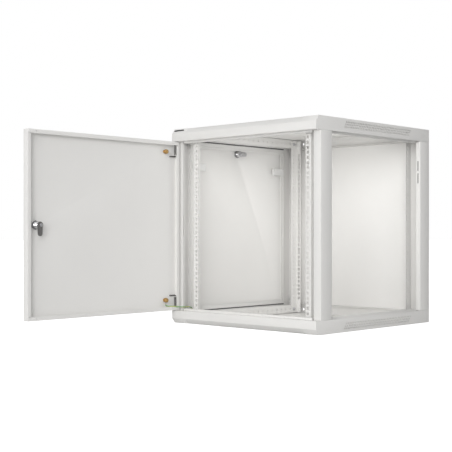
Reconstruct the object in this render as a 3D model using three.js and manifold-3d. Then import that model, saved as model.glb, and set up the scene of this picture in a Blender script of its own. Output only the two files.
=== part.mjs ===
// Wall-mounted 12U network rack cabinet, 600 x 600 x 635 mm, in folded sheet steel.
//
// Frame: millimetres, +X to the right of someone facing the door side, +Y to the
// wall, +Z up. The origin is the bottom centre of the cabinet body, and the door is
// drawn open at a right angle to the front.

import * as THREE from 'three';
import { mergeVertices } from 'three/addons/utils/BufferGeometryUtils.js';
import Module from 'manifold-3d';

const wasm = await Module();
wasm.setup();

// ---------------------------------------------------------------- dimensions
const WIDTH = 600;
const DEPTH = 600;
const HEIGHT = 635;
const SHEET = 1.5;              // folded steel of the covers, frame, door and panels
const RAIL_SHEET = 2;           // heavier steel of the 19-inch rails
const GAP = 0.3;                // between pieces that touch
const PAST = 1;                 // a cutter runs this far past the faces it opens
const SIDE = WIDTH / 2;
const FRONT = -DEPTH / 2;
const BACK = DEPTH / 2;
const MIDDLE = HEIGHT / 2;

const COVER_TALL = 41;          // top and bottom cover, side wall height
const COVER_Z = HEIGHT - COVER_TALL;
const BEVEL_TALL = 16;          // sloped strip above the fascia
const BEVEL_DEEP = 17;
const CORNER_DEEP = 12;         // the same strip on the steeper corner blocks
const BEVEL_HALF = 243;         // half length of the deeper strip
const OVERHANG = 22.5;          // fascia in front of the posts

const WEB_DEEP = 53;            // corner post section
const POST_FACE = 27;
const FRONT_WEB_DEEP = 51.5;
const POST_RETURN = 10;
const POST_INNER = 16;
const POST_LOW = COVER_TALL + GAP;
const POST_HIGH = COVER_Z - GAP;
const LATCH_SLOTS = [[457, 490], [498, 530]];
const LATCH_SLOT_X = 291;
const LATCH_SLOT_WIDE = 3.5;
const LOCK_SLOT = { tall: 65, y: [2.2, 8.6] };      // in the post's face return
const TONGUE = { x: [296.7, 298.2], y: [3, 38], reach: 20, edge: 25 };  // inside a cover

const CROSS_LOW = 588;          // lower edge of the upper frame members
const CROSS_HIGH = HEIGHT - SHEET - GAP;
const REAR_CROSS_LOW = 599;
const CROSS_FLANGE = 15;
const SIDE_FLANGE = 14;
const CROSS_HALF = 268;
const SIDE_MEMBER_X = 283.7;
const SIDE_MEMBER_Y = mirroredRange(0, 266);

const UNIT = 44.45;             // one rack unit
const UNITS = 12;
const HOLE = 9.5;               // square mounting hole
const HOLE_OFFSETS = [6.35, 22.225, 38.1];
const HOLE_X = 465.1 / 2;
const RAIL_INNER = 225;
const RAIL_OUTER = 245;
const RAIL_DEEP = 30;
const RAIL_Z = [5, HEIGHT - 5];
const RAIL_FACE = [-254.6, 275];        // front and rear rail faces
const BRACE_X = RAIL_OUTER + GAP;
const BRACE_Z = [602, 632];
const BRACE_Y = [FRONT + 38, BACK - 19];
const BRACE_FLANGE = 15;
const BOLT = { r: 3, head: 5.5, tall: 4, past: 6, z: 617, behind: 17 };

const DOOR_TALL = 550;
const DOOR_HALF = 299;
const DOOR_THICK = 20;
const DOOR_LIP = 12;
const DOOR_LOW = MIDDLE - DOOR_TALL / 2;
const DOOR_HIGH = MIDDLE + DOOR_TALL / 2;
const HINGE = { x: -292, y: FRONT + 7 };
const PIN_R = 2.5;
const PIN_HOLE_R = 2.8;
const PIN_TIP = 603;
const PIN_HANDLE_Z = 544.5;
const PIN_HANDLE_LONG = 25;
const BRACKET_Z = [549, 587];
const BRACKET_SHEET = 0.9;
const COLLAR = { r: 3.8, z: [581, 585] };
const SPRING_R = [3, 4];
const DOOR_STUD = { x: -248, z: [76, 559] };    // earth studs, door closed

const LOCK = { x: 261, z: MIDDLE };     // door lock, door closed
const LOCK_TAIL = 25.2;                 // its length behind the outer face
const BARREL_R = 9.5;
const LOCK_FLANGE = { r: 12.5, thick: 2.5 };
const LOCK_NUT = { r: 13.5, thick: 5 };
const PLUG_R = 6;
const KEYWAY = { half: [0.7, 3.2], deep: 3 };
const CAM = { thick: 2.5, hub: 10, root: 9, tip: 7.5, reach: 24.5, nut: 4.5, nutTall: 3.5 };

const PANEL_Y = [-225.5, 246.5];
const PANEL_Z = [COVER_TALL + 0.8, COVER_Z - 0.8];
const PANEL_DEEP = 13.5;
const PANEL_LIP = 13;
const PANEL_LOCK = { y: 10.5, z: 570 };
const CATCH = { long: 54, inset: 6, thick: 9.2, z: [503, 527] };
const REAR_PANEL = { half: 271.4, y: [BACK - 3.3, BACK - 1.8], z: [36.5, 598.5] };

const ENTRY = { x: 130, y: [190, 262], lap: 10 };  // cable entry in both covers
const WALL_HOLE = { x: 230, z: 620, r: 4.5 };
const FRAME_STUD = { y: -206, z: 34 };    // frame end of the earth lead
const STUD = { r: 3, long: 15, nut: 6, tall: 5 };
const LEAD_R = 1.6;
const LEAD_STEPS = 44;
const LUG = { thick: 1.2, r: 5.5, long: 13, root: 2, tip: 1.6 };

// ----------------------------------------------------------------- materials
const paint = (color) => new THREE.MeshStandardMaterial({ color, roughness: 0.45, metalness: 0.1 });
const metal = (color, roughness) => new THREE.MeshStandardMaterial({ color, roughness, metalness: 1 });
const plastic = (color) => new THREE.MeshStandardMaterial({ color, roughness: 0.5, metalness: 0 });
const LIGHT_GREY = 0xe2e2df;
const ZINC = 0xb9bcc0;
const STEEL = 0x6d6f72;
const CHROME = 0xc9ccd0;
const BRASS = 0xc98b45;
const WHITE = 0xf0f0ee;
const GREEN = 0x6fa53c;

// --------------------------------------------------------------- solid tools
// A closed three.js geometry as a solid that can be cut and joined.
function solid(geometry) {
  const bare = geometry.index ? geometry.toNonIndexed() : geometry.clone();
  bare.deleteAttribute('normal');
  bare.deleteAttribute('uv');
  const merged = mergeVertices(bare, 1e-4);
  return new wasm.Manifold(new wasm.Mesh({
    numProp: 3,
    vertProperties: new Float32Array(merged.attributes.position.array),
    triVerts: new Uint32Array(merged.index.array),
  }));
}

function geometryOf(body) {
  const mesh = body.getMesh();
  const geometry = new THREE.BufferGeometry();
  geometry.setAttribute('position', new THREE.BufferAttribute(mesh.vertProperties, 3));
  geometry.setIndex(new THREE.BufferAttribute(mesh.triVerts, 1));
  const flat = geometry.toNonIndexed();
  flat.computeVertexNormals();
  return flat;
}

function box(x, y, z) {
  const [x0, x1] = x;
  const [y0, y1] = y;
  const [z0, z1] = z;
  const geometry = new THREE.BoxGeometry(x1 - x0, y1 - y0, z1 - z0);
  geometry.translate((x0 + x1) / 2, (y0 + y1) / 2, (z0 + z1) / 2);
  return solid(geometry);
}

const joined = (bodies) => bodies.reduce((whole, body) => whole.add(body));

function mirroredRange(centre, half) {
  return [centre - half, centre + half];
}

function ordered(a, b) {
  return [Math.min(a, b), Math.max(a, b)];
}

// Turns geometry made along +Z so that its length runs along the given axis. The
// section's own axes are (x, y) along Z, (y, z) along X and (z, x) along Y.
const AXES = {
  x: new THREE.Matrix4().makeBasis(
    new THREE.Vector3(0, 1, 0), new THREE.Vector3(0, 0, 1), new THREE.Vector3(1, 0, 0)),
  y: new THREE.Matrix4().makeBasis(
    new THREE.Vector3(0, 0, 1), new THREE.Vector3(1, 0, 0), new THREE.Vector3(0, 1, 0)),
  z: new THREE.Matrix4(),
};

function prism(section, axis, [from, to]) {
  const shape = new THREE.Shape(section.map(([u, v]) => new THREE.Vector2(u, v)));
  const geometry = new THREE.ExtrudeGeometry(shape, { depth: to - from, bevelEnabled: false });
  geometry.translate(0, 0, from);
  geometry.applyMatrix4(AXES[axis]);
  return solid(geometry);
}

function rod(radius, axis, [from, to], u = 0, v = 0, sides = 16) {
  const geometry = new THREE.CylinderGeometry(radius, radius, to - from, sides);
  geometry.rotateX(Math.PI / 2);
  geometry.translate(u, v, (from + to) / 2);
  geometry.applyMatrix4(AXES[axis]);
  return solid(geometry);
}

// A strip of sheet folded along an open path; its thickness lies on the left.
function folded(path, thickness = SHEET) {
  const points = path.map(([u, v]) => new THREE.Vector2(u, v));
  const normals = points.slice(1).map((p, i) => {
    const d = p.clone().sub(points[i]).normalize();
    return new THREE.Vector2(-d.y, d.x);
  });
  const inner = points.map((p, i) => {
    const before = normals[Math.max(i - 1, 0)];
    const after = normals[Math.min(i, normals.length - 1)];
    const mitre = before.clone().add(after).normalize();
    return p.clone().addScaledVector(mitre, thickness / mitre.dot(after));
  });
  return [...points, ...inner.reverse()].map((p) => [p.x, p.y]);
}

// A tray open towards +X: a skin, four walls and an inward lip round the mouth.
function tray(ranges, lip, thickness = SHEET) {
  const inner = ranges[0][1];
  const hollow = ranges.map(([lo, hi]) => [lo + thickness, hi - thickness]);
  const mouth = [[inner - 2 * thickness, inner + 1], ...ranges.slice(1)
    .map(([lo, hi]) => [lo + lip, hi - lip])];
  return box(...ranges).subtract(box(...hollow)).subtract(box(...mouth));
}

// ------------------------------------------------------------------ assembly
const cabinet = new THREE.Group();

function add(name, body, material, parent = cabinet) {
  const mesh = new THREE.Mesh(geometryOf(body), material);
  mesh.name = name;
  parent.add(mesh);
}

// The lower half of the body repeats the upper half, turned over left to right.
const lowerHalf = new THREE.Group();
lowerHalf.position.set(0, 0, HEIGHT);
lowerHalf.rotation.y = Math.PI;
cabinet.add(lowerHalf);

const halves = [
  { word: 'upper', cover: 'top', parent: cabinet, left: -1 },
  { word: 'lower', cover: 'bottom', parent: lowerHalf, left: 1 },
];

// Cover: a tray open downwards, its fascia sloped back above, its corner blocks
// steeper than the strip between them.
function coverBody() {
  const slope = (deep) => [
    [FRONT, COVER_Z], [FRONT, HEIGHT - BEVEL_TALL], [FRONT + deep, HEIGHT],
    [BACK, HEIGHT], [BACK, COVER_Z],
  ];
  const outer = prism(slope(CORNER_DEEP), 'x', [-SIDE, SIDE]);
  const strip = prism([
    [FRONT - PAST, HEIGHT - BEVEL_TALL - PAST], [FRONT + BEVEL_DEEP + PAST, HEIGHT + PAST],
    [FRONT - PAST, HEIGHT + PAST],
  ], 'x', [-BEVEL_HALF, BEVEL_HALF]);
  const hollow = prism([
    [FRONT + SHEET, COVER_Z - PAST], [FRONT + SHEET, HEIGHT - BEVEL_TALL - SHEET / 2],
    [FRONT + BEVEL_DEEP + SHEET / 2, HEIGHT - SHEET], [BACK - SHEET, HEIGHT - SHEET],
    [BACK - SHEET, COVER_Z - PAST],
  ], 'x', [-SIDE + SHEET, SIDE - SHEET]);
  const shelf = box(
    [-SIDE + SHEET / 2, SIDE - SHEET / 2],
    [FRONT + SHEET / 2, FRONT + OVERHANG - GAP],
    [COVER_Z, COVER_Z + SHEET],
  );
  const pivotHoles = [-HINGE.x, HINGE.x].map((x) => (
    rod(PIN_HOLE_R, 'z', [COVER_Z - PAST, COVER_Z + SHEET + PAST], x, HINGE.y)));
  const wallHoles = [-WALL_HOLE.x, WALL_HOLE.x].map((x) => (
    rod(WALL_HOLE.r, 'y', [BACK - SHEET - PAST, BACK + PAST], WALL_HOLE.z, x)));
  const entry = box(
    mirroredRange(0, ENTRY.x), ENTRY.y, [HEIGHT - SHEET - PAST, HEIGHT + PAST]);
  return outer.subtract(strip).subtract(hollow).add(shelf)
    .subtract(joined([...pivotHoles, ...wallHoles, entry]));
}

function crossMember(from, towards, low) {
  return prism(folded([
    [from + towards * CROSS_FLANGE, low], [from, low],
    [from, CROSS_HIGH], [from + towards * CROSS_FLANGE, CROSS_HIGH],
  ], towards > 0 ? -SHEET : SHEET), 'x', [-CROSS_HALF, CROSS_HALF]);
}

function sideMember(side) {
  const x = side * (SIDE_MEMBER_X - SHEET);
  return prism(folded([
    [CROSS_LOW, x], [CROSS_HIGH, x], [CROSS_HIGH, x + side * SIDE_FLANGE],
  ], side > 0 ? SHEET : -SHEET), 'y', SIDE_MEMBER_Y);
}

function railBoltYs() {
  return [RAIL_FACE[0] + BOLT.behind, RAIL_FACE[1] - BOLT.behind];
}

function brace(side) {
  const x = side * BRACE_X;
  const body = prism(folded([
    [BRACE_Z[0], x], [BRACE_Z[1], x], [BRACE_Z[1], x + side * BRACE_FLANGE],
  ], side > 0 ? SHEET : -SHEET), 'y', BRACE_Y);
  const through = ordered(x - side * PAST, x + side * (SHEET + PAST));
  const bores = railBoltYs().map((y) => rod(BOLT.r + GAP, 'x', through, y, BOLT.z, 8));
  return body.subtract(joined(bores));
}

for (const { word, cover, parent, left } of halves) {
  add(`${cover}_cover`, coverBody(), paint(LIGHT_GREY), parent);
  const entryPlate = box(
    mirroredRange(0, ENTRY.x + ENTRY.lap), [ENTRY.y[0] - ENTRY.lap, ENTRY.y[1] + ENTRY.lap],
    [HEIGHT - 2 * SHEET - GAP, HEIGHT - SHEET - GAP],
  );
  add(`${cover}_cable_entry_plate`, entryPlate, paint(LIGHT_GREY), parent);
  add(`${word}_front_cross_member`, crossMember(FRONT + OVERHANG, 1, CROSS_LOW),
    paint(LIGHT_GREY), parent);
  const rearMember = crossMember(BACK - SHEET - GAP, -1, REAR_CROSS_LOW)
    .subtract(joined([-WALL_HOLE.x, WALL_HOLE.x].map((x) => (
      rod(WALL_HOLE.r, 'y', [BACK - 3 * SHEET, BACK], WALL_HOLE.z, x)))));
  add(`${word}_rear_cross_member`, rearMember, paint(LIGHT_GREY), parent);
  for (const [hand, side] of [['left', left], ['right', -left]]) {
    add(`${word}_${hand}_side_member`, sideMember(side), paint(LIGHT_GREY), parent);
    add(`${word}_${hand}_depth_brace`, brace(side), paint(LIGHT_GREY), parent);
  }
}

// Corner posts: a folded channel, open to the inside, with a joggled tongue at
// each end that reaches inside the cover.
function post(side, front) {
  const near = front ? FRONT + OVERHANG : BACK;
  const deep = front ? FRONT_WEB_DEEP : WEB_DEEP;
  const inward = front ? 1 : -1;
  const web = side * SIDE;
  const section = folded([
    [side * (SIDE - POST_FACE), near + inward * POST_RETURN],
    [side * (SIDE - POST_FACE), near],
    [web, near],
    [web, near + inward * deep],
    [side * (SIDE - POST_INNER), near + inward * deep],
  ], side * inward > 0 ? SHEET : -SHEET);
  const tongueY = ordered(near + inward * TONGUE.y[0], near + inward * TONGUE.y[1]);
  const tongueX = ordered(side * TONGUE.x[0], side * TONGUE.x[1]);
  const tongues = [
    [TONGUE.reach, POST_LOW + TONGUE.edge], [POST_HIGH - TONGUE.edge, HEIGHT - TONGUE.reach],
  ].map((z) => box(tongueX, tongueY, z));
  const joggleX = ordered(side * (SIDE - 1), side * (SIDE - 2));
  const joggles = [
    [POST_LOW + 5, POST_LOW + TONGUE.edge], [POST_HIGH - TONGUE.edge, POST_HIGH - 5],
  ].map((z) => box(joggleX, tongueY, z));
  const innerFlange = mirroredRange(near + inward * deep, SHEET + PAST);
  const cuts = LATCH_SLOTS.map((z) => (
    box(mirroredRange(side * LATCH_SLOT_X, LATCH_SLOT_WIDE / 2), innerFlange, z)));
  if (front) {
    cuts.push(box(
      mirroredRange(side * (SIDE - POST_FACE), SHEET + PAST),
      LOCK_SLOT.y.map((y) => near + y),
      mirroredRange(MIDDLE, LOCK_SLOT.tall / 2),
    ));
  }
  return joined([prism(section, 'z', [POST_LOW, POST_HIGH]), ...tongues, ...joggles])
    .subtract(joined(cuts));
}

for (const [end, front] of [['front', true], ['rear', false]]) {
  for (const [hand, side] of [['left', -1], ['right', 1]]) {
    add(`${end}_${hand}_post`, post(side, front), paint(LIGHT_GREY));
  }
}

// 19-inch rails: an angle with three square holes to each rack unit.
function rail(side, face, inward) {
  const section = folded([
    [side * RAIL_INNER, face], [side * RAIL_OUTER, face],
    [side * RAIL_OUTER, face + inward * RAIL_DEEP],
  ], side * inward > 0 ? RAIL_SHEET : -RAIL_SHEET);
  const base = MIDDLE - UNITS * UNIT / 2;
  const cuts = [];
  for (let unit = 0; unit < UNITS; unit += 1) {
    for (const offset of HOLE_OFFSETS) {
      const z = base + unit * UNIT + offset;
      cuts.push(box(
        mirroredRange(side * HOLE_X, HOLE / 2), mirroredRange(face, RAIL_SHEET + PAST),
        mirroredRange(z, HOLE / 2),
      ));
    }
  }
  const boltY = railBoltYs()[inward > 0 ? 0 : 1];
  for (const z of [HEIGHT - BOLT.z, BOLT.z]) {
    const across = mirroredRange(side * RAIL_OUTER, RAIL_SHEET + PAST);
    cuts.push(rod(BOLT.r + GAP, 'x', across, boltY, z, 8));
  }
  return prism(section, 'z', RAIL_Z).subtract(joined(cuts));
}

// Rail bolt with its nut, through the rail and the brace.
function railBolt(side, y, z) {
  const at = (a, b) => ordered(side * a, side * b);
  const inner = RAIL_OUTER - RAIL_SHEET - GAP;
  const outer = BRACE_X + SHEET + GAP;
  return joined([
    rod(BOLT.head, 'x', at(inner - BOLT.tall, inner), y, z, 8),
    rod(BOLT.r, 'x', at(inner - 1, outer + BOLT.past), y, z, 8),
    rod(BOLT.head, 'x', at(outer, outer + BOLT.tall), y, z, 6),
  ]);
}

for (const [end, index, inward] of [['front', 0, 1], ['rear', 1, -1]]) {
  for (const [hand, side] of [['left', -1], ['right', 1]]) {
    const name = `${end}_${hand}_rail`;
    add(name, rail(side, RAIL_FACE[index], inward), paint(LIGHT_GREY));
    add(`${name}_upper_bolt`, railBolt(side, railBoltYs()[index], BOLT.z), metal(ZINC, 0.35));
    add(`${name}_lower_bolt`, railBolt(side, railBoltYs()[index], HEIGHT - BOLT.z),
      metal(ZINC, 0.35));
  }
}

// Rear panel, between the returns of the rear posts.
add('rear_panel', box(mirroredRange(0, REAR_PANEL.half), REAR_PANEL.y, REAR_PANEL.z),
  paint(LIGHT_GREY));

// Earth studs: a nut on a thread, standing off a sheet towards +X.
function earthStud(sheet, y, z) {
  return joined([
    rod(STUD.nut, 'x', [sheet + GAP, sheet + STUD.tall], y, z, 6),
    rod(STUD.r, 'x', [sheet + 1, sheet + STUD.long], y, z, 12),
  ]);
}
const memberFace = -SIDE_MEMBER_X + SHEET;
add('frame_earth_stud', earthStud(memberFace, FRAME_STUD.y, FRAME_STUD.z), metal(BRASS, 0.35));

// ---------------------------------------------------------------- left panel
const panelParts = new THREE.Group();
cabinet.add(panelParts);

const panelLockHole = rod(
  BARREL_R + GAP, 'x', [-SIDE - PAST, -SIDE + SHEET + PAST], PANEL_LOCK.y, PANEL_LOCK.z);
add('left_panel', tray(
  [[-SIDE, -SIDE + PANEL_DEEP], PANEL_Y, PANEL_Z], PANEL_LIP,
).subtract(panelLockHole), paint(LIGHT_GREY), panelParts);

// Snap catches on the lip, against the front and the rear post.
for (const [end, index, inward] of [['front', 0, 1], ['rear', 1, -1]]) {
  const edge = PANEL_Y[index] + inward * CATCH.inset;
  const low = -SIDE + PANEL_DEEP + GAP;
  const body = box([low, low + CATCH.thick], ordered(edge, edge + inward * CATCH.long), CATCH.z);
  add(`${end}_snap_catch`, body, plastic(WHITE), panelParts);
}

// Cylinder lock along +X: a barrel with a flange outside, a hexagon nut inside, and
// a plug that carries the cam.
function lockBarrel(flange, tail, y, z) {
  return joined([
    rod(LOCK_FLANGE.r, 'x', [flange - LOCK_FLANGE.thick, flange - GAP], y, z, 24),
    rod(BARREL_R, 'x', [flange - 1, tail], y, z, 24),
  ]).subtract(rod(PLUG_R, 'x', [flange - LOCK_FLANGE.thick - PAST, tail + PAST], y, z, 16));
}

function lockNut(from, y, z) {
  const hole = rod(BARREL_R + GAP, 'x', [from - PAST, from + LOCK_NUT.thick + PAST], y, z, 24);
  return rod(LOCK_NUT.r, 'x', [from, from + LOCK_NUT.thick], y, z, 6).subtract(hole);
}

// Plug with the key slot, and a cam that points down, or along towards the wall.
function lockPlug(flange, tail, y, z, along = false) {
  const cam = [tail + GAP, tail + GAP + CAM.thick];
  const [thin, tall] = KEYWAY.half;
  const keyway = box(
    mirroredRange(flange, KEYWAY.deep), mirroredRange(y, thin), mirroredRange(z, tall));
  const at = (side, down) => (along ? [y + down, z + side] : [y + side, z - down]);
  const blade = prism([
    at(-CAM.root, 0), at(-CAM.tip, CAM.reach), at(CAM.tip, CAM.reach), at(CAM.root, 0),
  ], 'x', cam);
  return joined([
    rod(PLUG_R - GAP, 'x', [flange - LOCK_FLANGE.thick + GAP, tail + 1], y, z, 16),
    rod(CAM.hub, 'x', cam, y, z, 20),
    rod(CAM.tip, 'x', cam, ...at(0, CAM.reach), 16),
    blade,
    rod(CAM.nut, 'x', [cam[1] - 1, cam[1] + CAM.nutTall], y, z, 6),
  ]).subtract(keyway);
}

const panelLockTail = -282.2;
add('panel_lock_barrel', lockBarrel(-SIDE, panelLockTail, PANEL_LOCK.y, PANEL_LOCK.z),
  metal(CHROME, 0.2), panelParts);
add('panel_lock_nut', lockNut(-SIDE + SHEET + GAP, PANEL_LOCK.y, PANEL_LOCK.z),
  metal(ZINC, 0.35), panelParts);
add('panel_lock_cam', lockPlug(-SIDE, panelLockTail, PANEL_LOCK.y, PANEL_LOCK.z, true),
  metal(STEEL, 0.35), panelParts);

// ---------------------------------------------------------------------- door
// Drawn open, in the same directions as the cabinet: its outer face is on -X and
// its free edge is on -Y. into() is the depth behind the outer face, and atClosedX()
// the Y of what has the given X on the closed door.
const doorParts = new THREE.Group();
cabinet.add(doorParts);
const doorSkin = HINGE.x + FRONT - HINGE.y;
const into = (depth) => doorSkin + depth;
const atClosedX = (x) => HINGE.y + HINGE.x - x;
const doorY = [atClosedX(DOOR_HALF), atClosedX(-DOOR_HALF)];

function doorPan() {
  const pan = tray([[into(0), into(DOOR_THICK)], doorY, [DOOR_LOW, DOOR_HIGH]], DOOR_LIP);
  const pivots = [];
  for (const y of [HINGE.y, atClosedX(-HINGE.x)]) {
    for (const z of [DOOR_LOW, DOOR_HIGH]) {
      pivots.push(rod(PIN_HOLE_R, 'z', mirroredRange(z, SHEET + PAST), HINGE.x, y));
    }
  }
  const lockHole = rod(
    BARREL_R + GAP, 'x', [into(-PAST), into(SHEET + PAST)], atClosedX(LOCK.x), LOCK.z, 24);
  return pan.subtract(joined([...pivots, lockHole]));
}
add('door_pan', doorPan(), paint(LIGHT_GREY), doorParts);

const lockY = atClosedX(LOCK.x);
const doorLockTail = into(LOCK_TAIL);
add('door_lock_barrel', lockBarrel(doorSkin, doorLockTail, lockY, LOCK.z),
  metal(CHROME, 0.2), doorParts);
add('door_lock_nut', lockNut(into(SHEET + GAP), lockY, LOCK.z), metal(ZINC, 0.35), doorParts);
add('door_lock_cam', lockPlug(doorSkin, doorLockTail, lockY, LOCK.z),
  metal(STEEL, 0.35), doorParts);

// Spring-loaded hinge pins: a bracket with two ears on the door, and a cranked pin
// through them that a spring holds in the hole of the cover.
function hingeBracket() {
  const wide = mirroredRange(HINGE.y, 5);
  const [low, high] = BRACKET_Z;
  const ears = BRACKET_Z.map((z) => (
    box([into(SHEET + GAP), HINGE.x + 5.5], wide, mirroredRange(z, SHEET / 2))));
  const plate = box(
    [into(SHEET + GAP), into(SHEET + GAP + BRACKET_SHEET)], wide,
    [low - SHEET / 2, high + SHEET / 2],
  );
  const bore = rod(PIN_HOLE_R, 'z', [low - SHEET - PAST, high + SHEET + PAST], HINGE.x, HINGE.y);
  return joined([plate, ...ears]).subtract(bore);
}

function hingePin() {
  const end = new THREE.SphereGeometry(PIN_R, 12, 8);
  end.translate(HINGE.x, HINGE.y, PIN_HANDLE_Z);
  return joined([
    rod(PIN_R, 'z', [PIN_HANDLE_Z, PIN_TIP], HINGE.x, HINGE.y, 12),
    rod(COLLAR.r, 'z', COLLAR.z, HINGE.x, HINGE.y, 12),
    rod(PIN_R, 'y', [HINGE.y - PIN_HANDLE_LONG, HINGE.y], PIN_HANDLE_Z, HINGE.x, 12),
    solid(end),
  ]);
}

// The spring's solid is the sleeve that its coils fill.
function springSleeve() {
  const span = [BRACKET_Z[0] + SHEET / 2 + GAP, COLLAR.z[0] - GAP];
  return rod(SPRING_R[1], 'z', span, HINGE.x, HINGE.y, 12)
    .subtract(rod(SPRING_R[0], 'z', [span[0] - PAST, span[1] + PAST], HINGE.x, HINGE.y, 12));
}

// The same body upside down, at the other end of the door.
function overturned(body) {
  const geometry = geometryOf(body);
  const { array } = geometry.attributes.position;
  for (let corner = 0; corner < array.length; corner += 9) {
    for (let k = 0; k < 3; k += 1) {
      [array[corner + k], array[corner + 3 + k]] = [array[corner + 3 + k], array[corner + k]];
    }
  }
  for (let k = 2; k < array.length; k += 3) array[k] = HEIGHT - array[k];
  return solid(geometry);
}

for (const [word, placed] of [['upper', (body) => body], ['lower', overturned]]) {
  add(`${word}_hinge_bracket`, placed(hingeBracket()), paint(LIGHT_GREY), doorParts);
  add(`${word}_hinge_pin`, placed(hingePin()), metal(STEEL, 0.3), doorParts);
  add(`${word}_hinge_spring`, placed(springSleeve()), metal(STEEL, 0.3), doorParts);
}

const doorStudY = atClosedX(DOOR_STUD.x);
const doorSheet = into(SHEET);
add('lower_door_earth_stud', earthStud(doorSheet, doorStudY, DOOR_STUD.z[0]),
  metal(BRASS, 0.35), doorParts);
add('upper_door_earth_stud', earthStud(doorSheet, doorStudY, DOOR_STUD.z[1]),
  metal(BRASS, 0.35), doorParts);

// Earth lead: a ring lug on each stud, and the lead between them, which rests on
// the door's lower lip and passes in front of the post.
function ringLug(sheet, y, z, towardsY, towardsZ) {
  const span = [sheet + STUD.tall + GAP, sheet + STUD.tall + GAP + LUG.thick];
  const tongue = [
    [-LUG.root, 0], [-LUG.tip, LUG.long], [LUG.tip, LUG.long], [LUG.root, 0],
  ].map(([across, along]) => (
    [y + along * towardsY - across * towardsZ, z + along * towardsZ + across * towardsY]));
  return rod(LUG.r, 'x', span, y, z, 16).add(prism(tongue, 'x', span))
    .subtract(rod(STUD.r + GAP, 'x', [span[0] - PAST, span[1] + PAST], y, z, 12));
}
add('door_lead_lug', ringLug(doorSheet, doorStudY, DOOR_STUD.z[0], 0, -1),
  metal(ZINC, 0.3), doorParts);
add('frame_lead_lug', ringLug(memberFace, FRAME_STUD.y, FRAME_STUD.z, -1, 0),
  metal(ZINC, 0.3));

const LEAD_ROUTE = [
  [-291, doorStudY, 62.2],
  [-290.5, doorStudY + 1.5, 58.6],
  [-287, doorStudY + 7, 56.6],
  [-281, doorStudY + 15, 56.2],
  [-276, doorStudY + 25, 55.6],
  [-272.5, -305, 54.4],
  [-270, -293, 53.2],
  [-268.5, -281, 52.6],
  [-268, -268, 52.2],
  [-268.5, -255, 51.6],
  [-270, -245, 50],
  [-272.4, -236, 45.6],
  [-274.8, -229.5, 39.4],
  [-276.1, -225.6, 35.6],
  [-276.3, -221.2, 34],
].map((p) => new THREE.Vector3(...p));

function lead() {
  const section = new THREE.Shape();
  for (let k = 0; k < 8; k += 1) {
    const turn = (k * Math.PI) / 4;
    const at = [LEAD_R * Math.cos(turn), LEAD_R * Math.sin(turn)];
    if (k === 0) section.moveTo(...at);
    else section.lineTo(...at);
  }
  return solid(new THREE.ExtrudeGeometry(section, {
    steps: LEAD_STEPS,
    bevelEnabled: false,
    extrudePath: new THREE.CatmullRomCurve3(LEAD_ROUTE),
  }));
}
add('earth_lead', lead(), plastic(GREEN));

export default cabinet;
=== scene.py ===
"""Looks of the 12U wall cabinet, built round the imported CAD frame.

Metres, +X to the right of someone facing the door side, +Y to the wall, +Z up. The
door stands open at a right angle to the front, with its inner side towards +X.
"""

import math

import bmesh
import bpy
from mathutils import Matrix, Vector


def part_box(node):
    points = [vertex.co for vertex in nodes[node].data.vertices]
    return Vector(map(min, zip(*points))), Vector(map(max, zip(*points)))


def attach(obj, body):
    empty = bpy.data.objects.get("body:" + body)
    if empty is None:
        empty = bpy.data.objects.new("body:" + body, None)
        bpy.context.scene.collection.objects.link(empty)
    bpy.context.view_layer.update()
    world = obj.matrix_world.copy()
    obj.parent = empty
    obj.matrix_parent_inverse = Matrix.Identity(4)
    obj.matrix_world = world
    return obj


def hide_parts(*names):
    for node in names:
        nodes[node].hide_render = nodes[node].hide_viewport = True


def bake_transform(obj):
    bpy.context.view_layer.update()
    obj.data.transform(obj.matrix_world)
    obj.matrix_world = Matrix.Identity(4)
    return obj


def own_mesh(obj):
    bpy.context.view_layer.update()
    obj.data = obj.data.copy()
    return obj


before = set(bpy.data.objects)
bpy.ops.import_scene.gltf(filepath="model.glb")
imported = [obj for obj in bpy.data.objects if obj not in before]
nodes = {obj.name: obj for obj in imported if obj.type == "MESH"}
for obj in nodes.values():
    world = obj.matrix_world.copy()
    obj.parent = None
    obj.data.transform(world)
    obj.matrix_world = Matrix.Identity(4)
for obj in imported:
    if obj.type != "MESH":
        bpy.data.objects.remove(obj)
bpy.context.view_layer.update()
scene = bpy.context.scene

MM = 0.001
HEIGHT = 0.635
SIDE = 0.300
UNIT = 0.04445
UNITS = 12


# ------------------------------------------------------------------- camera
def make_camera():
    data = bpy.data.cameras.new("camera")
    data.sensor_width = 36
    data.lens = 79.2
    data.shift_y = 0.0146
    data.clip_start, data.clip_end = 0.05, 80
    camera = bpy.data.objects.new("camera", data)
    camera.location = (2.0733, -2.5479, 0.2958)
    camera.rotation_mode = "QUATERNION"
    camera.rotation_quaternion = Vector((-0.6877, 0.7260, 0)).to_track_quat("-Z", "Y")
    scene.collection.objects.link(camera)
    scene.camera = camera


make_camera()


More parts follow.
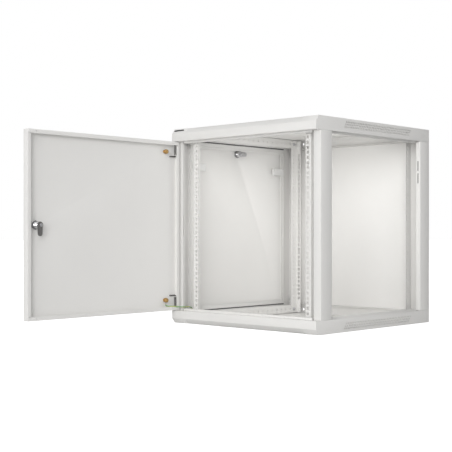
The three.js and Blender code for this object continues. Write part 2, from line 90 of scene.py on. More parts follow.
# ---------------------------------------------------------------- materials
class Nodes:
    """The nodes of one material, with short ways to add and join them."""

    def __init__(self, name):
        self.material = bpy.data.materials.new(name)
        self.material.use_nodes = True
        self.tree = self.material.node_tree
        self.shader = self.tree.nodes["Principled BSDF"]
        self.place = self.add("ShaderNodeTexCoord").outputs["Object"]

    def add(self, kind, **values):
        node = self.tree.nodes.new(kind)
        for key, value in values.items():
            setattr(node, key, value)
        return node

    def join(self, output, target):
        self.tree.links.new(output, target)

    def noise(self, scale, detail=2.0, rough=0.5):
        node = self.add("ShaderNodeTexNoise")
        node.inputs["Scale"].default_value = scale
        node.inputs["Detail"].default_value = detail
        node.inputs["Roughness"].default_value = rough
        self.join(self.place, node.inputs["Vector"])
        return node.outputs["Fac"]

    def ranged(self, value, low, high, start=0.3, end=0.7):
        """An output, mapped from the range start to end onto low to high."""
        node = self.add("ShaderNodeMapRange")
        limits = {"From Min": start, "From Max": end, "To Min": low, "To Max": high}
        for key, number in limits.items():
            node.inputs[key].default_value = number
        self.join(value, node.inputs["Value"])
        return node.outputs["Result"]

    def mixed(self, factor, low, high):
        """A colour between two, each a colour or an output."""
        node = self.add("ShaderNodeMix", data_type="RGBA")
        self.join(factor, node.inputs["Factor"])
        for socket, colour in ((node.inputs[6], low), (node.inputs[7], high)):
            if isinstance(colour, tuple):
                socket.default_value = (*colour, 1)
            else:
                self.join(colour, socket)
        return node.outputs[2]

    def colour(self, output):
        self.join(output, self.shader.inputs["Base Color"])

    def roughness(self, output):
        self.join(output, self.shader.inputs["Roughness"])

    def bump(self, height, depth, strength, after=None):
        node = self.add("ShaderNodeBump")
        node.inputs["Distance"].default_value = depth
        node.inputs["Strength"].default_value = strength
        self.join(height, node.inputs["Height"])
        if after is not None:
            self.join(after, node.inputs["Normal"])
        self.join(node.outputs["Normal"], self.shader.inputs["Normal"])
        return node.outputs["Normal"]

    def set(self, **values):
        for key, value in values.items():
            self.shader.inputs[key.replace("_", " ")].default_value = value


def shade(colour, factor):
    return tuple(c * factor for c in colour)


def powder_coat(name, colour, gloss=0.42):
    """Baked paint: a fine orange peel, faint cloudiness and handling marks."""
    n = Nodes(name)
    cloud = n.noise(5.0, detail=4.0, rough=0.6)
    speck = n.noise(850.0, detail=1.0)
    broad = n.mixed(n.ranged(cloud, 0, 1), shade(colour, 0.985), shade(colour, 1.015))
    n.colour(n.mixed(n.ranged(speck, 0, 0.5, 0.35, 0.75), broad, shade(colour, 0.955)))
    rubbed = n.noise(38.0, detail=5.0, rough=0.65)
    n.roughness(n.ranged(rubbed, gloss - 0.05, gloss + 0.07))
    peel = n.bump(n.noise(520.0, detail=2.0), 0.00006, 0.35)
    n.bump(n.noise(2300.0, detail=1.0), 0.00001, 0.3, after=peel)
    n.set(Specular_IOR_Level=0.45)
    return n.material


def plated(name, colour, low, high, scale, spangle=0.12):
    """Plated or bare metal, clouded and finely grained, its roughness low to high."""
    n = Nodes(name)
    cloud = n.noise(scale, detail=3.0, rough=0.6)
    dull, bright = shade(colour, 1 - spangle), shade(colour, 1 + spangle)
    n.colour(n.mixed(n.ranged(cloud, 0, 1), dull, bright))
    n.roughness(n.ranged(n.noise(scale * 3, detail=4.0), low, high))
    n.bump(n.noise(scale * 9, detail=3.0), 0.00002, 0.25)
    n.set(Metallic=1.0)
    return n.material


def moulded(name, colour, gloss):
    """Moulded plastic with a spark-eroded grain."""
    n = Nodes(name)
    tone = n.noise(60.0, detail=2.0)
    n.colour(n.mixed(n.ranged(tone, 0, 1), shade(colour, 0.97), shade(colour, 1.02)))
    n.roughness(n.ranged(n.noise(400.0), gloss - 0.05, gloss + 0.08))
    n.bump(n.noise(1500.0, detail=1.0), 0.00003, 0.35)
    return n.material


def striped(name, base, stripe):
    """Insulation in two colours, by the mesh's own stripe attribute."""
    n = Nodes(name)
    share = n.add("ShaderNodeAttribute", attribute_name="stripe")
    edge = n.ranged(share.outputs["Fac"], 0, 1, 0.45, 0.55)
    mottle = n.noise(300.0)
    plain = n.mixed(edge, base, stripe)
    n.colour(n.mixed(n.ranged(mottle, 0, 0.12), plain, (0.9, 0.9, 0.9)))
    n.roughness(n.ranged(mottle, 0.35, 0.5))
    n.bump(n.noise(900.0), 0.00002, 0.3)
    return n.material


PAINT = (0.800, 0.792, 0.774)
LOOKS = {
    "cabinet_paint": powder_coat("cabinet_powder_coat", PAINT),
    "rail_paint": powder_coat("rail_powder_coat", shade(PAINT, 1.02), gloss=0.38),
    "zinc_plate": plated("bright_zinc", (0.62, 0.62, 0.64), 0.28, 0.46, 260.0),
    "dark_steel": plated("dark_steel", (0.250, 0.246, 0.242), 0.30, 0.48, 300.0),
    "chrome": plated("chrome_plate", (0.78, 0.78, 0.79), 0.08, 0.18, 200.0, spangle=0.04),
    "brass": plated("brass", (0.60, 0.40, 0.17), 0.24, 0.40, 320.0),
    "white_plastic": moulded("white_plastic", (0.78, 0.78, 0.77), 0.45),
    "lead_insulation": striped("lead_insulation", (0.10, 0.38, 0.13), (0.75, 0.68, 0.10)),
}
NUT = plated("lock_nut_steel", (0.34, 0.34, 0.35), 0.22, 0.38, 300.0)
# Painted shade: a dark plastic look for pieces that stand in for shadowed gaps and slots.
PAINTED_SHADE = moulded("painted_shade_dark", (0.135, 0.135, 0.135), 0.60)
BADGE = moulded("badge_plastic", (0.035, 0.035, 0.037), 0.35)

for node in nodes.values():
    slot = node.data.materials[0].name.split(".")[0]
    node.material_slots[0].link = "OBJECT"
    node.material_slots[0].material = LOOKS[slot]
nodes["panel_lock_cam"].material_slots[0].material = LOOKS["zinc_plate"]


# ------------------------------------------------------------- shape helpers
def shaded_by_angle():
    """A modifier's node group: drops stored normals and shades smooth below 32 degrees."""
    group = bpy.data.node_groups.new("shade_by_angle", "GeometryNodeTree")
    group.interface.new_socket("Geometry", in_out="INPUT", socket_type="NodeSocketGeometry")
    group.interface.new_socket("Geometry", in_out="OUTPUT", socket_type="NodeSocketGeometry")
    new, link = group.nodes.new, group.links.new
    start, end = new("NodeGroupInput"), new("NodeGroupOutput")
    bare = new("GeometryNodeRemoveAttribute")
    bare.inputs["Name"].default_value = "custom_normal"
    link(start.outputs[0], bare.inputs["Geometry"])
    faces = new("GeometryNodeSetShadeSmooth")
    faces.domain = "FACE"
    link(bare.outputs["Geometry"], faces.inputs["Geometry"])
    angle = new("GeometryNodeInputMeshEdgeAngle")
    compare = new("FunctionNodeCompare")
    compare.data_type, compare.operation = "FLOAT", "LESS_THAN"
    compare.inputs[1].default_value = math.radians(32)
    link(angle.outputs["Unsigned Angle"], compare.inputs[0])
    edges = new("GeometryNodeSetShadeSmooth")
    edges.domain = "EDGE"
    link(faces.outputs["Geometry"], edges.inputs["Geometry"])
    link(compare.outputs["Result"], edges.inputs["Shade Smooth"])
    link(edges.outputs["Geometry"], end.inputs[0])
    return group


SHADING = shaded_by_angle()


def soften(name, width, cutters=(), segments=2):
    """Rounds a CAD node's edges, cuts its small holes and sets its shading."""
    node = nodes[name]
    weld = node.modifiers.new("weld", "WELD")
    weld.merge_threshold = 1e-5
    planar = node.modifiers.new("planar", "DECIMATE")
    planar.decimate_type, planar.angle_limit = "DISSOLVE", math.radians(0.4)
    bevel = node.modifiers.new("edges", "BEVEL")
    bevel.width, bevel.segments = width, segments
    bevel.limit_method, bevel.angle_limit = "ANGLE", math.radians(35)
    for cutter in cutters:
        cut = node.modifiers.new("holes", "BOOLEAN")
        cut.object, cut.operation, cut.solver = cutter, "DIFFERENCE", "EXACT"
    node.modifiers.new("shading", "NODES").node_group = SHADING


def linked(name, bm, material, angle=32):
    """A new object from a bmesh, smooth where its faces meet below the angle."""
    bmesh.ops.recalc_face_normals(bm, faces=bm.faces)
    mesh = bpy.data.meshes.new(name)
    bm.to_mesh(mesh)
    bm.free()
    mesh.polygons.foreach_set("use_smooth", [True] * len(mesh.polygons))
    mesh.set_sharp_from_angle(angle=math.radians(angle))
    made = bpy.data.objects.new(name, mesh)
    scene.collection.objects.link(made)
    if material is not None:
        mesh.materials.append(material)
    return made


def along_x(start, sign=1):
    """Turns shapes made along +Z so that they run along X from a point."""
    turn = Matrix(((0, 0, sign, 0), (sign, 0, 0, 0), (0, 1, 0, 0), (0, 0, 0, 1)))
    return Matrix.Translation(start) @ turn


def rings_solid(bm, rings, place, closed=False):
    """Joins rings of points, each (height, radius or a function of the turn)."""
    count = 48
    made = []
    for height, radius in rings:
        ring = []
        for k in range(count):
            turn = math.tau * k / count
            r = radius(turn) if callable(radius) else radius
            point = Vector((r * math.cos(turn), r * math.sin(turn), height))
            ring.append(bm.verts.new(place @ point))
        made.append(ring)
    pairs = list(zip(made, made[1:] + made[:1])) if closed else list(zip(made, made[1:]))
    for low, high in pairs:
        for k in range(count):
            bm.faces.new((low[k], low[k - 1], high[k - 1], high[k]))
    if not closed:
        bm.faces.new(made[0])
        bm.faces.new(made[-1])


def hexagon(corner, limit):
    """Radius of a hexagon by turn, no more than a limit, as on a chamfered nut."""
    flat = corner * math.cos(math.pi / 6)

    def radius(turn):
        off = (turn + math.pi / 6) % (math.pi / 3) - math.pi / 6
        return min(flat / math.cos(off), limit)

    return radius


def nut_rings(corner, bore, low, high):
    """A hexagon nut, chamfered on both faces, as closed rings."""
    flat = corner * math.cos(math.pi / 6)
    steps = [(0.0, flat * 0.97), (0.10, (flat + corner) / 2), (0.2, corner)]
    tall = high - low
    outside = [(low + tall * at, hexagon(corner, limit)) for at, limit in steps]
    outside += [(high - tall * at, hexagon(corner, limit)) for at, limit in reversed(steps)]
    return outside + [(high, bore), (low, bore)]


def threaded(radius, low, high, pitch, depth):
    """Outline of a threaded rod with a chamfered end."""
    rings = [(low, radius)]
    at = low + pitch
    while at < high - 1.5 * pitch:
        rings += [(at, radius), (at + pitch * 0.35, radius - depth), (at + pitch * 0.65, radius)]
        at += pitch
    return [*rings, (high - depth, radius), (high, radius - depth)]


def stand_for(made, body, *replaced, slot=None):
    """Puts a piece on its body in place of CAD nodes. The slot argument is not used."""
    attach(made, body)
    if replaced:
        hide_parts(*replaced)


BOX_FACES = (
    (0, 1, 3, 2), (4, 6, 7, 5), (0, 4, 5, 1), (2, 3, 7, 6), (0, 2, 6, 4), (1, 5, 7, 3),
)


def box_into(bm, low, high):
    """A box between two corners."""
    corners = [
        bm.verts.new((x, y, z))
        for x in (low[0], high[0]) for y in (low[1], high[1]) for z in (low[2], high[2])
    ]
    for face in BOX_FACES:
        bm.faces.new([corners[k] for k in face])


def peg_into(bm, centre, radius, half, axis, sides=10):
    """A peg through centre along X or Y, to cut a round hole with."""
    rings = []
    for along in (-half, half):
        ring = []
        for k in range(sides):
            turn = math.tau * (k + 0.5) / sides
            u, v = radius * math.cos(turn), radius * math.sin(turn)
            offset = {"X": (along, u, v), "Y": (v, along, u)}[axis]
            ring.append(bm.verts.new(Vector(centre) + Vector(offset)))
        rings.append(ring)
    low, high = rings
    for k in range(sides):
        bm.faces.new((low[k], low[k - 1], high[k - 1], high[k]))
    bm.faces.new(low)
    bm.faces.new(high)


def cutter(name, bm, body):
    """A hidden object that cuts holes and moves with a body."""
    made = linked(name, bm, None)
    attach(made, body)
    made.hide_render = True
    made.display_type = "WIRE"
    return made


# --------------------------------------------------------------- earth lead
LEAD_ROUTE = [
    (-0.2910, -0.3370, 0.0622),
    (-0.2905, -0.3355, 0.0586),
    (-0.2870, -0.3300, 0.0566),
    (-0.2810, -0.3220, 0.0562),
    (-0.2760, -0.3120, 0.0556),
    (-0.2725, -0.3050, 0.0544),
    (-0.2700, -0.2930, 0.0532),
    (-0.2685, -0.2810, 0.0526),
    (-0.2680, -0.2680, 0.0522),
    (-0.2685, -0.2550, 0.0516),
    (-0.2700, -0.2450, 0.0500),
    (-0.2724, -0.2360, 0.0456),
    (-0.2748, -0.2295, 0.0394),
    (-0.2761, -0.2256, 0.0356),
    (-0.2763, -0.2212, 0.0340),
]
LEAD_RADIUS = 0.0016
LEAD_STEPS = 8          # rings between two points of the route
LEAD_SIDES = 16
STRIPE_TWIST = 0.11     # share of a turn, from one point of the route to the next
STRIPE_SHARE = 0.15     # share of a turn that each of the two stripes covers


def smooth_route(points, steps):
    """Points of a Catmull-Rom curve through the given ones."""
    line = []
    ends = [points[0] * 2 - points[1], *points, points[-1] * 2 - points[-2]]
    for a, b, c, d in zip(ends, ends[1:], ends[2:], ends[3:]):
        for k in range(steps):
            t = k / steps
            line.append(0.5 * (
                2 * b + (c - a) * t + (2 * a - 5 * b + 4 * c - d) * t * t
                + (3 * b - a - 3 * c + d) * t ** 3
            ))
    return [*line, points[-1]]


def tube(bm, line, radius, sides):
    """A round tube along a line, with rings square to it and no twist."""
    across = None
    rings = []
    for k, point in enumerate(line):
        ahead = (line[min(k + 1, len(line) - 1)] - line[max(k - 1, 0)]).normalized()
        if across is None:
            across = ahead.orthogonal().normalized()
        across = (across - ahead * across.dot(ahead)).normalized()
        other = ahead.cross(across)
        thick = radius(k) if callable(radius) else radius
        rings.append([
            bm.verts.new(point + thick * (
                across * math.cos(math.tau * j / sides) + other * math.sin(math.tau * j / sides)
            ))
            for j in range(sides)
        ])
    for low, high in zip(rings, rings[1:]):
        for j in range(sides):
            bm.faces.new((low[j - 1], low[j], high[j], high[j - 1]))
    bm.faces.new(rings[0])
    bm.faces.new(rings[-1])


def make_lead():
    line = smooth_route([Vector(p) for p in LEAD_ROUTE], LEAD_STEPS)
    bm = bmesh.new()
    tube(bm, line, LEAD_RADIUS, LEAD_SIDES)
    lead = linked("earth_lead_insulated", bm, LOOKS["lead_insulation"], angle=60)
    stripe = lead.data.attributes.new("stripe", "FLOAT", "POINT")
    values = []
    for k in range(len(line)):
        for j in range(LEAD_SIDES):
            turn = (j / LEAD_SIDES + k * STRIPE_TWIST / LEAD_STEPS) % 0.5
            values.append(1.0 if turn < STRIPE_SHARE else 0.0)
    stripe.data.foreach_set("value", values)
    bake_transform(lead)
    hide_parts("earth_lead")


make_lead()


# ----------------------------------------------------------- covers and vents
VENT_Y = (-0.167, 0.195)
VENT_Z = 0.617
VENT_PITCH = 0.0085
VENT_HOLE = 0.0031


def vent_pegs(bm, side, centre_z, lean):
    """Three staggered rows of round holes, their ends leaning towards the wall."""
    rise = VENT_PITCH * math.sin(math.pi / 3)
    count = int((VENT_Y[1] - VENT_Y[0] - VENT_PITCH) / VENT_PITCH)
    for row in (-1, 0, 1):
        first = VENT_Y[0] + VENT_PITCH + lean * row * VENT_PITCH / 2
        for k in range(count):
            centre = (side * SIDE, first + k * VENT_PITCH, centre_z + row * rise)
            peg_into(bm, centre, VENT_HOLE, 0.003, "X", sides=8)


for cover, centre_z in (("top_cover", VENT_Z), ("bottom_cover", HEIGHT - VENT_Z)):
    holes = bmesh.new()
    vent_pegs(holes, 1, centre_z, 1)
    vent_pegs(holes, -1, centre_z, -1)
    soften(cover, 0.0011, [cutter(f"{cover}_vents", holes, "cabinet")], segments=3)

for name in nodes:
    if name.endswith(("cable_entry_plate", "cross_member", "side_member", "rear_panel")):
        soften(name, 0.0005)
    elif name.endswith("_post"):
        soften(name, 0.0006)


# ------------------------------------------------------- braces and the rails
BRACE_Z = 0.617
BRACE_HOLES = {"first": -0.235, "last": 0.262, "pitch": 0.025, "r": 0.0032, "x": 0.246}
BRACE_BOLTS_Y = (-0.2376, 0.258)
BOLT_CLEARANCE = 0.010
RAIL_FACES = (("front", -0.2546, 1), ("rear", 0.275, -1))    # end, face's y, way inward
RAIL_MARK = {"x": 0.2405, "r": 0.0016, "offsets": (0.01502, 0.02942)}
RAIL_SIDE = {"x": 0.244, "behind": 0.019, "r": 0.0026}


def brace_cutter(name, side, z):
    """The row of round holes along a depth brace, left out at the rails' bolts."""
    bm = bmesh.new()
    y = BRACE_HOLES["first"]
    while y < BRACE_HOLES["last"]:
        if min(abs(y - bolt) for bolt in BRACE_BOLTS_Y) > BOLT_CLEARANCE:
            peg_into(bm, (side * BRACE_HOLES["x"], y, z), BRACE_HOLES["r"], 0.003, "X")
        y += BRACE_HOLES["pitch"]
    return cutter(f"{name}_holes", bm, "cabinet")


def rail_cutter(name, side, face, inward):
    """The marks beside the square holes and the row of holes on the side flange."""
    bm = bmesh.new()
    base = HEIGHT / 2 - UNITS * UNIT / 2
    for unit in range(UNITS):
        for offset in RAIL_MARK["offsets"]:
            centre = (side * RAIL_MARK["x"], face, base + unit * UNIT + offset)
            peg_into(bm, centre, RAIL_MARK["r"], 0.004, "Y", sides=8)
        for third in range(3):
            z = base + (unit + (third + 0.5) / 3) * UNIT
            centre = (side * RAIL_SIDE["x"], face + inward * RAIL_SIDE["behind"], z)
            peg_into(bm, centre, RAIL_SIDE["r"], 0.003, "X", sides=8)
    return cutter(f"{name}_holes", bm, "cabinet")


for hand, side in (("left", -1), ("right", 1)):
    for word, z in (("upper", BRACE_Z), ("lower", HEIGHT - BRACE_Z)):
        name = f"{word}_{hand}_depth_brace"
        soften(name, 0.0005, [brace_cutter(name, side, z)])
    for end, face, inward in RAIL_FACES:
        name = f"{end}_{hand}_rail"
        soften(name, 0.0006, [rail_cutter(name, side, face, inward)])


# ---------------------------------------------------------------------- door
DOOR_X = (-0.299, -0.279)
DOOR_Y = (-0.884, -0.286)
DOOR_Z = (0.0425, 0.5925)
LIP_HOLE = {"from_end": 0.030, "from_edge": 0.006, "r": 0.0022}
LIP_CORNER = 0.0125
LIP_SLIT = 0.0006       # half the width of the open corner


def door_cutter():
    """Small holes in the door's lips near their ends, and the open corners where
    the lips meet."""
    bm = bmesh.new()
    for y in (DOOR_Y[0] + LIP_HOLE["from_end"], DOOR_Y[1] - LIP_HOLE["from_end"]):
        for z in DOOR_Z:
            inset = math.copysign(LIP_HOLE["from_edge"], HEIGHT / 2 - z)
            peg_into(bm, (DOOR_X[1], y, z + inset), LIP_HOLE["r"], 0.004, "X")
    for y, inward in ((DOOR_Y[0], 1), (DOOR_Y[1], -1)):
        for z, up in ((DOOR_Z[0], 1), (DOOR_Z[1], -1)):
            near, far = y + inward * 0.0025, y + inward * LIP_CORNER
            low = Vector((DOOR_X[1] - 0.002, near, z + up * (LIP_CORNER - LIP_SLIT)))
            high = Vector((DOOR_X[1] + 0.001, far, z + up * (LIP_CORNER + LIP_SLIT)))
            pairs = [sorted(p) for p in zip(low, high)]
            box_into(bm, [p[0] for p in pairs], [p[1] for p in pairs])
    return cutter("door_pan_holes", bm, "door")


soften("door_pan", 0.0007, [door_cutter()], segments=3)
for name in ("left_panel", "upper_hinge_bracket", "lower_hinge_bracket"):
    soften(name, 0.0004)
for name in ("door_lock_cam", "panel_lock_cam", "door_lead_lug", "frame_lead_lug"):
    soften(name, 0.0003)


# --------------------------------------------------------------------- locks
LOCKS = (               # name, body, the flange's x, the tail's x, y, z
    ("door", "door", -0.299, -0.2738, -0.846, 0.3175),
    ("panel", "left_panel", -0.300, -0.2822, 0.0105, 0.570),
)


def make_lock(word, body, flange_x, tail_x, y, z):
    """A chromed barrel with a flange, threaded behind it, and its steel nut."""
    deep = tail_x - flange_x
    bm = bmesh.new()
    thread = threaded(9.5 * MM, 0.0008, deep, 1.3 * MM, 0.45 * MM)
    outline = [
        (-0.0025, 6.0 * MM), (-0.0025, 11.2 * MM), (-0.0021, 12.1 * MM), (-0.0012, 12.5 * MM),
        (-0.0004, 12.5 * MM), (-0.0004, 9.5 * MM), *thread,
        (deep, 6.0 * MM),
    ]
    place = along_x((flange_x, y, z))
    rings_solid(bm, outline, place, closed=True)
    barrel = linked(f"{word}_lock_barrel_chromed", bm, LOOKS["chrome"], angle=40)
    stand_for(barrel, body, f"{word}_lock_barrel", slot="chrome")
    bm = bmesh.new()
    rings_solid(bm, nut_rings(13.5 * MM, 9.8 * MM, 1.8 * MM, 6.8 * MM), place, closed=True)
    nut = linked(f"{word}_lock_nut_chamfered", bm, NUT)
    stand_for(nut, body, f"{word}_lock_nut", slot="zinc_plate")


def make_cam_screw(word, y, z):
    """A domed washer-head screw that holds a lock's cam on its plug."""
    body = f"{word}_lock_cam"
    bm = bmesh.new()
    head = [(-0.0004, 4.6 * MM), (0.0004, 5.2 * MM), (0.0010, 5.2 * MM), (0.0011, 4.0 * MM),
            (0.0020, 3.6 * MM), (0.0024, 2.8 * MM), (0.0024, 1.6 * MM), (0.0014, 1.5 * MM)]
    rings_solid(bm, head, along_x((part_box(body)[1].x, y, z)))
    stand_for(linked(f"{word}_lock_cam_screw", bm, LOOKS["zinc_plate"]), body)


for word, body, flange_x, tail_x, y, z in LOCKS:
    make_lock(word, body, flange_x, tail_x, y, z)
    make_cam_screw(word, y, z)


# ---------------------------------------------------------------- fasteners
BOLT_HEAD_X = 0.2387    # the inner end of a rail bolt's head


def make_rail_bolt(node):
    """Pan-head screw inside the rail, and washer, nut and thread end outside."""
    low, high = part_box(node)
    y, z = (low.y + high.y) / 2, (low.z + high.z) / 2
    side = 1 if low.x > 0 else -1
    place = along_x((side * BOLT_HEAD_X, y, z), side)
    bm = bmesh.new()
    head = [(0.0, 2.0 * MM), (0.0, 3.6 * MM), (0.0008, 4.9 * MM), (0.0020, 5.5 * MM),
            (0.0040, 5.5 * MM), (0.0040, 3.0 * MM)]
    shank = threaded(3.0 * MM, 0.0041, 0.0144, 1.0 * MM, 0.3 * MM)
    rings_solid(bm, [(0.0014, 1.9 * MM), *head, *shank], place)
    washer = [(0.0084, 3.2 * MM), (0.0084, 5.5 * MM), (0.0091, 5.5 * MM), (0.0091, 3.2 * MM)]
    rings_solid(bm, washer, place, closed=True)
    rings_solid(bm, nut_rings(5.5 * MM, 3.05 * MM, 0.0092, 0.0124), place, closed=True)
    bolt = linked(f"{node}_with_nut", bm, LOOKS["zinc_plate"])
    stand_for(bolt, "cabinet", node, slot="zinc_plate")


def make_earth_stud(node, body):
    """A threaded brass stud with a washer and a nut at its root and near its end."""
    low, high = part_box(node)
    place = along_x((low.x, (low.y + high.y) / 2, (low.z + high.z) / 2))
    long = high.x - low.x
    bm = bmesh.new()
    rings_solid(bm, threaded(3.0 * MM, 0.0, long, 1.0 * MM, 0.3 * MM), place)
    washer = [(0.0001, 3.3 * MM), (0.0001, 6.0 * MM), (0.0010, 6.0 * MM), (0.0010, 3.3 * MM)]
    rings_solid(bm, washer, place, closed=True)
    rings_solid(bm, nut_rings(5.9 * MM, 3.05 * MM, 0.0011, 0.0046), place, closed=True)
    outer = [(0.0072, 3.3 * MM), (0.0072, 7.8 * MM), (0.0081, 7.8 * MM), (0.0081, 3.3 * MM)]
    rings_solid(bm, outer, place, closed=True)
    rings_solid(bm, nut_rings(7.4 * MM, 3.05 * MM, 0.0082, 0.0134), place, closed=True)
    stud = linked(f"{node}_threaded", bm, LOOKS["brass"])
    stand_for(stud, body, node, slot="brass")


for node in [n for n in nodes if n.endswith("_bolt")]:
    make_rail_bolt(node)
make_earth_stud("frame_earth_stud", "cabinet")
make_earth_stud("upper_door_earth_stud", "door")
make_earth_stud("lower_door_earth_stud", "door")


# -------------------------------------------------------------- hinge pins
HINGE = Vector((-0.292, -0.293, 0))
PIN_RADIUS = 0.0025
CRANK_Z = 0.5445        # heights are those of the upper pin, and the lower mirrors them
CRANK_BEND = 0.005
PIN_HEIGHTS = (0.556, 0.570, 0.585, 0.598, 0.6018, 0.6030)
COIL_TURNS = 9
COIL_RADIUS = 0.0035


def make_hinge(word, flip):
    """The cranked pin with its collar, and the coil spring between ear and collar."""

    def at(x, y, z):
        return HINGE + Vector((x, y, HEIGHT - z if flip else z))

    bend = CRANK_BEND
    crank = [at(0, y, CRANK_Z) for y in (-0.025, -0.0245, -0.016)]
    crank += [
        at(0, -bend + bend * math.sin(turn), CRANK_Z + bend - bend * math.cos(turn))
        for turn in (math.pi / 2 * k / 8 for k in range(9))
    ]
    crank += [at(0, 0, z) for z in PIN_HEIGHTS]
    last = len(crank) - 1
    bm = bmesh.new()
    tube(bm, crank, lambda k: PIN_RADIUS * (0.82 if k in (0, last) else 1.0), sides=16)
    collar = [(0.581, 2.4 * MM), (0.581, 3.5 * MM), (0.5814, 3.8 * MM), (0.5846, 3.8 * MM),
              (0.585, 3.5 * MM), (0.585, 2.4 * MM)]
    place = Matrix.Translation(HINGE)
    if flip:
        place = place @ Matrix.Translation((0, 0, HEIGHT)) @ Matrix.Diagonal((1, 1, -1, 1))
    rings_solid(bm, collar, place, closed=True)
    pin = linked(f"{word}_hinge_pin_cranked", bm, LOOKS["dark_steel"], angle=40)
    stand_for(pin, f"{word}_hinge_pin", f"{word}_hinge_pin", slot="dark_steel")

    low, high, wire = 0.5506, 0.5802, 0.00045
    steps = COIL_TURNS * 20
    coil = []
    for k in range(steps + 1):
        share = k / steps
        turn = math.tau * COIL_TURNS * share
        x, y = COIL_RADIUS * math.cos(turn), COIL_RADIUS * math.sin(turn)
        coil.append(at(x, y, low + (high - low) * share))
    bm = bmesh.new()
    tube(bm, coil, wire, sides=8)
    spring = linked(f"{word}_hinge_coil", bm, LOOKS["dark_steel"], angle=80)
    stand_for(spring, "door", f"{word}_hinge_spring", slot="dark_steel")
    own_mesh(spring)


make_hinge("upper", False)
make_hinge("lower", True)


# ---------------------------------------------------------- painted shade: dark strips and slot blocks
SHADE_STRIP_Z = 0.600
SHADE_STRIP_HALF = 0.0022
SLOT_SHADE_X = 0.291
SLOT_SHADE_Y = 0.2493
SLOT_SHADE_Z = (0.454, 0.533)


def make_shade_strip(word, centre_z):
    """A dark strip let into a left side member, along the edge of the side panel, as painted shade
    for the shadow gap there.
    It is almost flush, because the panel lock's cam turns past it."""
    bm = bmesh.new()
    low = (-0.2830, -0.2240, centre_z - SHADE_STRIP_HALF)
    high = (-0.28212, 0.2460, centre_z + SHADE_STRIP_HALF)
    box_into(bm, low, high)
    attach(linked(f"{word}_left_panel_shade_strip", bm, PAINTED_SHADE), "cabinet")


make_shade_strip("upper", SHADE_STRIP_Z)
make_shade_strip("lower", HEIGHT - SHADE_STRIP_Z)


def make_slot_shade(hand, side):
    """A dark block behind the two latch slots of a rear post, where a panel's catch goes: painted
    shade for the shadowed space behind the slots.
    """
    x, y = side * SLOT_SHADE_X, SLOT_SHADE_Y
    bm = bmesh.new()
    low = (x - 0.0035, y - 0.0007, SLOT_SHADE_Z[0])
    high = (x + 0.0035, y + 0.0007, SLOT_SHADE_Z[1])
    box_into(bm, low, high)
    slot_shade_block = linked(f"rear_{hand}_latch_slot_shade", bm, PAINTED_SHADE)
    edges = slot_shade_block.modifiers.new("edges", "BEVEL")
    edges.width, edges.segments = 0.0003, 2
    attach(slot_shade_block, "cabinet")


make_slot_shade("left", -1)
make_slot_shade("right", 1)


# -------------------------------------------------------------- snap catches
def make_catch(node):
    """A moulded catch: a rounded block with a shallow finger hollow."""
    low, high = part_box(node)
    middle = (low + high) / 2
    near = 1e-4
    bm = bmesh.new()
    box_into(bm, low, high)
    inner = [f for f in bm.faces if f.calc_center_median().x > high.x - near]
    bmesh.ops.inset_region(bm, faces=inner, thickness=0.0035)
    hollow = [f for f in bm.faces if f.calc_center_median().x > high.x - near
              and abs(f.calc_center_median().y - middle.y) < near
              and abs(f.calc_center_median().z - middle.z) < near]
    for vert in {v for f in hollow for v in f.verts}:
        vert.co.x -= 0.0016
    catch = linked(f"{node}_moulded", bm, LOOKS["white_plastic"])
    bevel = catch.modifiers.new("edges", "BEVEL")
    bevel.width, bevel.segments, bevel.limit_method = 0.0007, 3, "ANGLE"
    stand_for(catch, "left_panel", node, slot="white_plastic")


make_catch("front_snap_catch")
make_catch("rear_snap_catch")


# --------------------------------------------------------------------- badge
SLOPE_RUN, SLOPE_RISE = 0.012, 0.016        # of the cover's sloped front edge
SLOPE_FOOT_Y, SLOPE_FOOT_Z = -0.300, 0.619
BADGE_UP = 0.62                             # share of the slope below its centre


def make_badge():
    """A plain dark badge without lettering on the sloped left corner block."""
    bm = bmesh.new()
    slope = Vector((0, SLOPE_RUN, SLOPE_RISE)).normalized()
    outward = Vector((0, -SLOPE_RISE, SLOPE_RUN)).normalized()
    centre_y = SLOPE_FOOT_Y + SLOPE_RUN * BADGE_UP
    centre_z = SLOPE_FOOT_Z + SLOPE_RISE * BADGE_UP
    centre = Vector((-0.2735, centre_y, centre_z))
    half_long, half_tall, corner = 0.0220, 0.0028, 0.0012
    outline = []
    for turn in (k * math.pi / 8 for k in range(16)):
        u = math.copysign(half_long - corner, math.cos(turn)) + corner * math.cos(turn)
        v = math.copysign(half_tall - corner, math.sin(turn)) + corner * math.sin(turn)
        outline.append((u, v))
    layers = []
    for lift, shrink in ((-0.0003, 1.0), (0.0004, 1.0), (0.0007, 0.94)):
        layers.append([
            bm.verts.new(centre + Vector((u * shrink, 0, 0)) + slope * v * shrink + outward * lift)
            for u, v in outline
        ])
    for low, high in zip(layers, layers[1:]):
        for k in range(len(outline)):
            bm.faces.new((low[k - 1], low[k], high[k], high[k - 1]))
    bm.faces.new(layers[0])
    bm.faces.new(layers[-1])
    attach(linked("plain_badge", bm, BADGE), "cabinet")


make_badge()


# ------------------------------------------------------------ floor and light
LIGHT_TARGET = (0, 0, 0.3)
AREA_LIGHTS = (         # name, place, diameter in metres, power in watts
    ("key", (3.2, -4.7, 1.4), 3.0, 145),
    ("front", (0.8, -5.2, 0.5), 2.0, 36),
    ("top", (0.6, -2.2, 4.6), 3.0, 18),
    ("back", (-3.4, 3.8, 2.2), 3.0, 70),
)
FLOOR_REACH = 30
FLOOR_Z = -0.0004


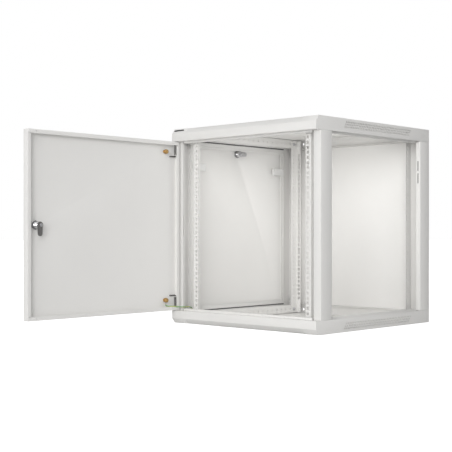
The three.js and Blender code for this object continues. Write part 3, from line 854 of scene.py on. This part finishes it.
def by_ray(tree, seen, lit):
    """A strength with one value in the picture and another as a light."""
    path = tree.nodes.new("ShaderNodeLightPath")
    level = tree.nodes.new("ShaderNodeMapRange")
    level.inputs["To Min"].default_value = lit
    level.inputs["To Max"].default_value = seen
    tree.links.new(path.outputs["Is Camera Ray"], level.inputs["Value"])
    return level.outputs["Result"]


def make_floor():
    n = Nodes("studio_floor")
    tone = n.noise(3.0, detail=3.0)
    n.colour(n.mixed(n.ranged(tone, 0, 1), (0.58, 0.58, 0.577), (0.61, 0.61, 0.607)))
    n.set(Roughness=0.9, Emission_Color=(1, 1, 1, 1))
    n.join(by_ray(n.tree, seen=0.9, lit=0.05), n.shader.inputs["Emission Strength"])
    bm = bmesh.new()
    corners = ((-1, -1), (1, -1), (1, 1), (-1, 1))
    bm.faces.new([
        bm.verts.new((x * FLOOR_REACH, y * FLOOR_REACH, FLOOR_Z)) for x, y in corners
    ])
    floor = linked("studio_floor", bm, n.material)


def area_light(name, place, size, power):
    """A round soft light, turned towards the middle of the cabinet."""
    data = bpy.data.lights.new(name, "AREA")
    data.shape, data.size = "DISK", size
    data.energy = power
    light = bpy.data.objects.new(name, data)
    light.location = place
    light.rotation_mode = "QUATERNION"
    ahead = Vector(LIGHT_TARGET) - Vector(place)
    light.rotation_quaternion = ahead.to_track_quat("-Z", "Y")
    scene.collection.objects.link(light)


def inside_light(place, radius, power):
    """A soft unseen lamp in the middle of the cabinet."""
    data = bpy.data.lights.new("inside", "POINT")
    data.shadow_soft_size, data.energy = radius, power
    lamp = bpy.data.objects.new("inside", data)
    lamp.location = place
    lamp.visible_camera = False
    lamp.visible_glossy = False
    scene.collection.objects.link(lamp)


make_floor()


def make_world(seen, lit):
    """A plain white studio: its brightness as a backdrop, and as a light."""
    world = bpy.data.worlds.new("studio")
    world.use_nodes = True
    background = world.node_tree.nodes["Background"]
    background.inputs["Color"].default_value = (1, 1, 1, 1)
    strength = background.inputs["Strength"]
    world.node_tree.links.new(by_ray(world.node_tree, seen, lit), strength)
    scene.world = world


make_world(seen=1.0, lit=0.45)
for light_name, light_place, light_size, light_power in AREA_LIGHTS:
    area_light(light_name, light_place, light_size, light_power)
inside_light((0.02, -0.02, 0.46), 0.10, 1.10)
scene.view_settings.view_transform = "Standard"
